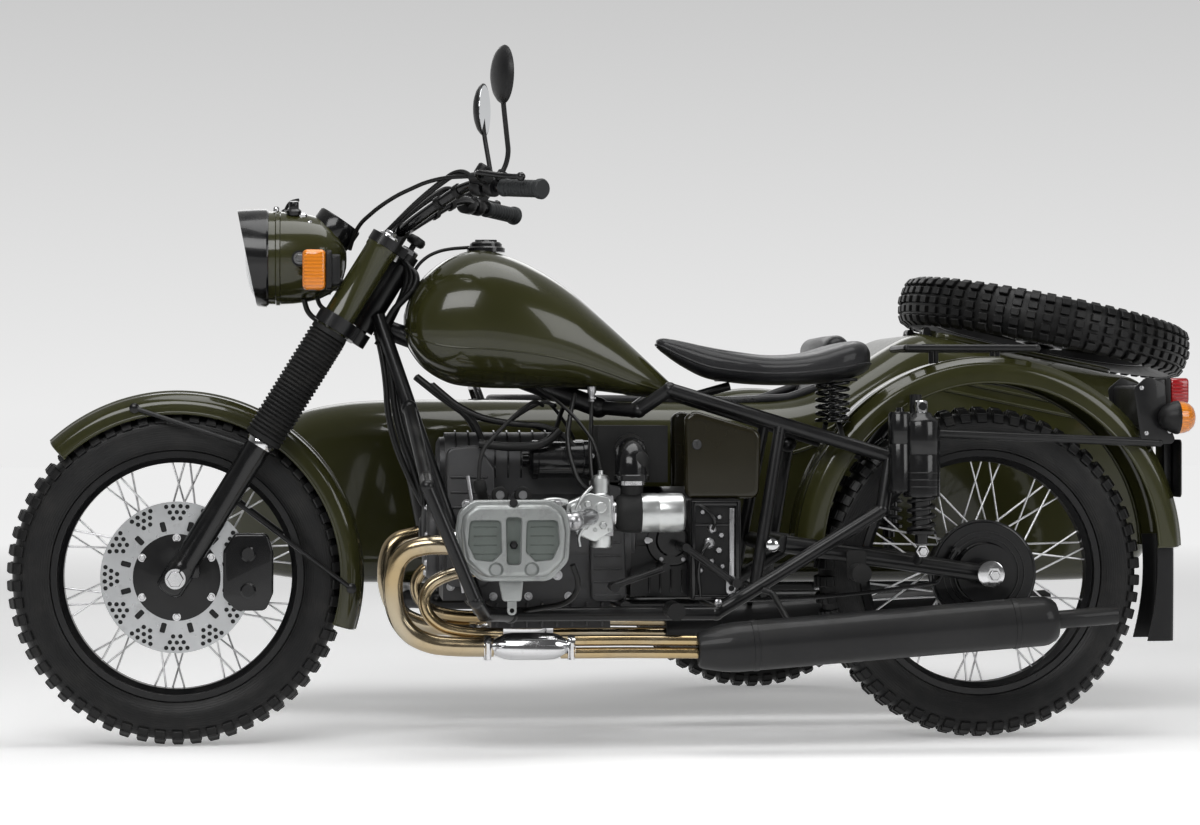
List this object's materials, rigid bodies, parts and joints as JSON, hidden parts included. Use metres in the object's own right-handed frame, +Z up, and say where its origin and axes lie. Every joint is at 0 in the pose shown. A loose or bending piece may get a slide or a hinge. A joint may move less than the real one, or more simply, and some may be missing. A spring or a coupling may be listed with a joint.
{
  "type": "sidecar motorcycle",
  "caption": "Retro flat-twin motorcycle with a boat-shaped sidecar, steered fork, wire wheels and a hinged trunk lid that carries a spare wheel.",
  "frame": {"origin": "on the ground, under the middle of the outfit's bounding box", "axes": "+X forward, +Y to the rider's left, +Z up"},
  "size_m": [2.6135, 1.6148, 1.3671],
  "materials": {
    "olive_paint": "gloss",
    "black_paint": "satin",
    "cast_alloy": "cast, matt",
    "dark_alloy": "cast, matt",
    "bright_steel": "polished",
    "pipe_chrome": "heat-tinted chrome",
    "soft_rubber": "matt",
    "tyre_rubber": "matt",
    "black_leather": "semi-gloss",
    "amber_lens": "gloss",
    "red_lens": "gloss",
    "black_plastic": "matt"
  },
  "bodies": {
    "chassis": {"frame": "black_paint", "engine_case": "dark_alloy", "gearbox": "dark_alloy", "cylinders": "dark_alloy", "valve_covers": "cast_alloy", "carburettors": "bright_steel", "intake_canisters": "bright_steel", "air_box": "soft_rubber", "exhaust_pipes": "pipe_chrome", "mufflers": "black_paint", "fuel_tank": "olive_paint", "fuel_cap": "black_paint", "saddle": "black_leather", "saddle_frame": "black_paint", "side_covers": "olive_paint", "battery_boxes": "black_plastic", "rear_fender": "olive_paint", "rear_rack": "black_paint", "tail_bracket": "black_paint", "tail_lamp": "red_lens", "rear_indicators": "amber_lens", "mud_flap": "soft_rubber", "swing_arm": "black_paint", "rear_shocks": "black_paint", "rear_brake": "dark_alloy", "final_drive": "dark_alloy", "foot_controls": "black_paint", "engine_guard": "black_paint", "sidecar_frame": "black_paint", "sidecar_body": "olive_paint", "sidecar_seat": "black_leather", "sidecar_fender": "olive_paint", "sidecar_arm": "black_paint", "sidecar_lamps": "amber_lens", "trunk_hinge": "black_paint"},
    "steering": {"fork_clamps": "black_paint", "fork_covers": "olive_paint", "fork_gaiters": "soft_rubber", "fork_sliders": "black_paint", "front_fender": "olive_paint", "headlamp": "olive_paint", "handlebar": "black_paint", "grips": "soft_rubber", "mirrors": "black_plastic", "front_indicators": "amber_lens", "brake_caliper": "dark_alloy"},
    "front_wheel": {"front_tyre": "tyre_rubber", "front_rim": "black_paint", "front_hub": "bright_steel", "brake_disc": "bright_steel"},
    "rear_wheel": {"rear_tyre": "tyre_rubber", "rear_rim": "black_paint", "rear_hub": "bright_steel"},
    "sidecar_wheel": {"sidecar_tyre": "tyre_rubber", "sidecar_rim": "black_paint", "sidecar_hub": "bright_steel"},
    "trunk_lid": {"trunk_lid": "olive_paint", "spare_tyre": "tyre_rubber", "spare_rim": "black_paint", "spare_hub": "bright_steel"}
  },
  "joints": [
    {"name": "steering", "type": "hinge", "parent": "chassis", "child": "steering", "pos_m": [0.56267, 0.40764, 0.89808], "axis": [-0.527, 0, 0.8499], "range_deg": [-35, 35]},
    {"name": "front_axle", "type": "hinge", "parent": "steering", "child": "front_wheel", "pos_m": [0.96877, 0.40764, 0.338], "axis": [0, 1, 0], "continuous": true},
    {"name": "rear_axle", "type": "hinge", "parent": "chassis", "child": "rear_wheel", "pos_m": [-0.65623, 0.40764, 0.338], "axis": [0, 1, 0], "continuous": true},
    {"name": "sidecar_axle", "type": "hinge", "parent": "chassis", "child": "sidecar_wheel", "pos_m": [-0.35623, -0.73236, 0.338], "axis": [0, 1, 0], "continuous": true},
    {"name": "trunk_hinge", "type": "hinge", "parent": "chassis", "child": "trunk_lid", "pos_m": [-0.67942, -0.31236, 0.84868], "axis": [0, 1, 0], "range_deg": [0, 45]}
  ]
}
